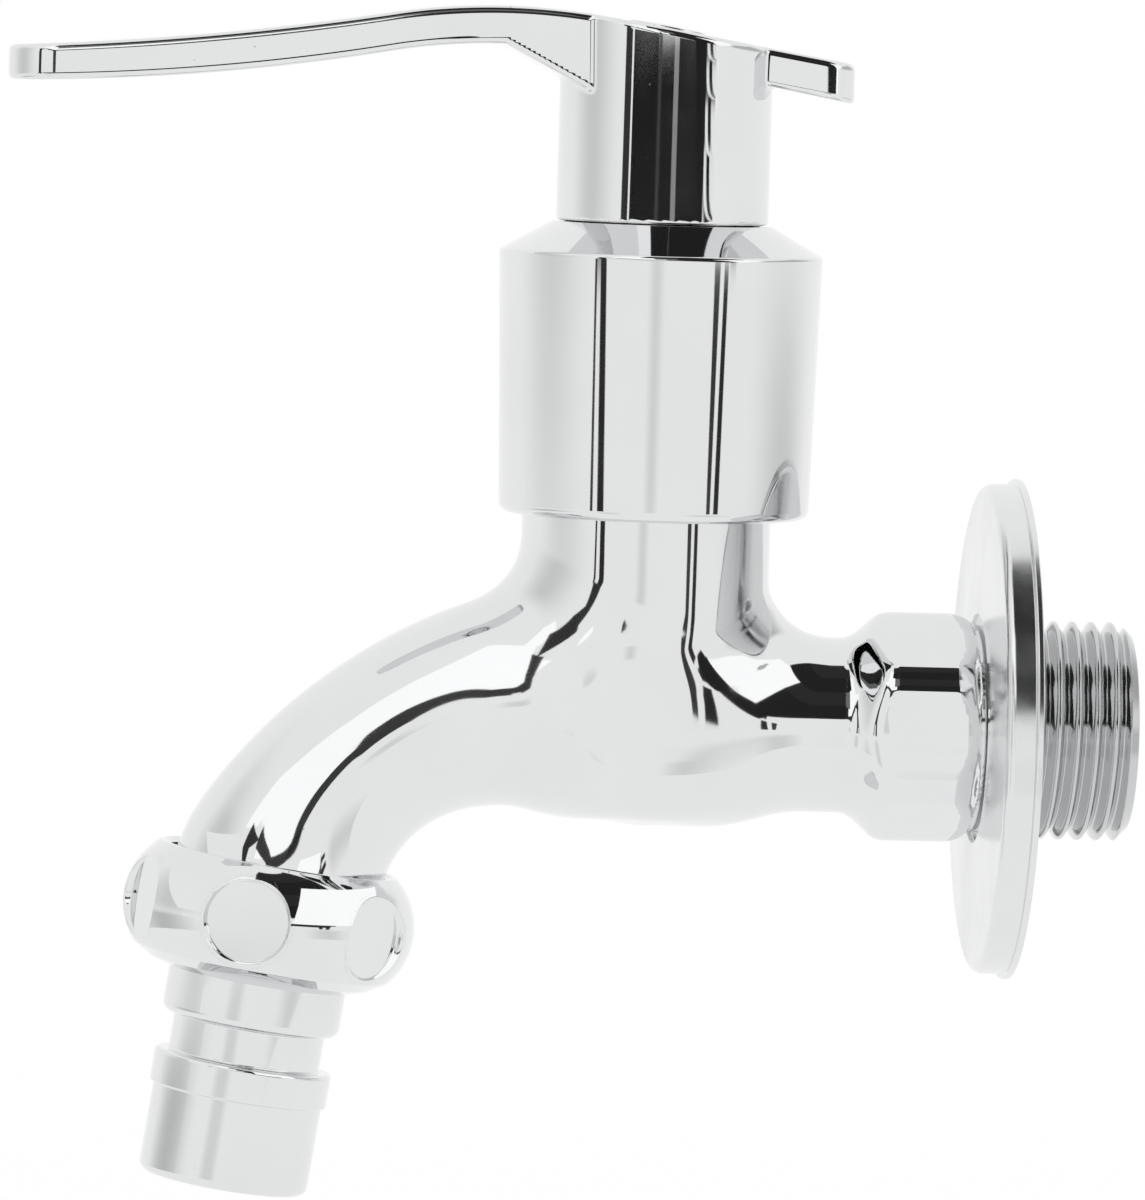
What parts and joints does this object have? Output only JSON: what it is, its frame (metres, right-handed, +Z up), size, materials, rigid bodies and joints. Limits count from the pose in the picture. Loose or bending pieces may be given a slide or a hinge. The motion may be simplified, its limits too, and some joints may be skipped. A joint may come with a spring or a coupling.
{
  "type": "washing machine tap",
  "caption": "Wall-mounted water tap with a lever handle, a bent spout and a union nut that holds a hose nozzle.",
  "frame": {"origin": "axis of the inlet thread at the wall plane, which is the back edge of the wall flange", "axes": "+X along the inlet thread into the wall, the spout points to -X, +Z up along the valve axis"},
  "size_m": [0.1085, 0.0478, 0.1137],
  "materials": {
    "body_chrome": "polished chrome plating",
    "flange_chrome": "polished chrome plating",
    "cover_chrome": "polished chrome plating",
    "handle_chrome": "polished chrome plating",
    "cap_chrome": "polished chrome plating",
    "nut_chrome": "polished chrome plating",
    "nozzle_chrome": "polished chrome plating",
    "brass": "machined",
    "steel": "stainless",
    "ceramic": "lapped ceramic",
    "white_plastic": "smooth",
    "rubber": "moulded"
  },
  "bodies": {
    "tap": {"tap_body": "body_chrome", "head_o_ring": "rubber", "headwork_housing": "brass", "fixed_disc": "ceramic", "seat_seal": "rubber", "seal_stiffener": "steel", "bonnet_cover": "cover_chrome", "cover_nut": "brass"},
    "handle": {"lever_handle": "handle_chrome", "handle_cap": "cap_chrome", "handle_screw": "steel", "spindle": "brass", "spindle_o_rings": "rubber", "spindle_clip": "steel", "slip_washer": "white_plastic", "moving_disc": "ceramic"},
    "flange": {"wall_flange": "flange_chrome"},
    "nozzle": {"hose_nozzle": "nozzle_chrome", "nozzle_gasket": "rubber"},
    "nut": {"outlet_nut": "nut_chrome"}
  },
  "joints": [
    {"name": "handle_turn", "type": "hinge", "parent": "tap", "child": "handle", "pos_m": [-0.0351, 0, 0], "axis": [0, 0, 1], "range_deg": [0, 90]},
    {"name": "flange_slide", "type": "slide", "parent": "tap", "child": "flange", "axis": [1, 0, 0], "range_m": [0, 0.009]},
    {"name": "nozzle_drop", "type": "slide", "parent": "tap", "child": "nozzle", "axis": [-0.1444, 0, -0.9895], "range_m": [0, 0.00544]},
    {"name": "nut_turn", "type": "hinge", "parent": "nozzle", "child": "nut", "pos_m": [-0.0706, 0, -0.0193], "axis": [-0.1444, 0, -0.9895], "range_deg": [0, 1080.2]}
  ],
  "couplings": [
    {"joint": "nut_turn", "follows": "nozzle_drop", "rad_per_m": 3463.7}
  ]
}
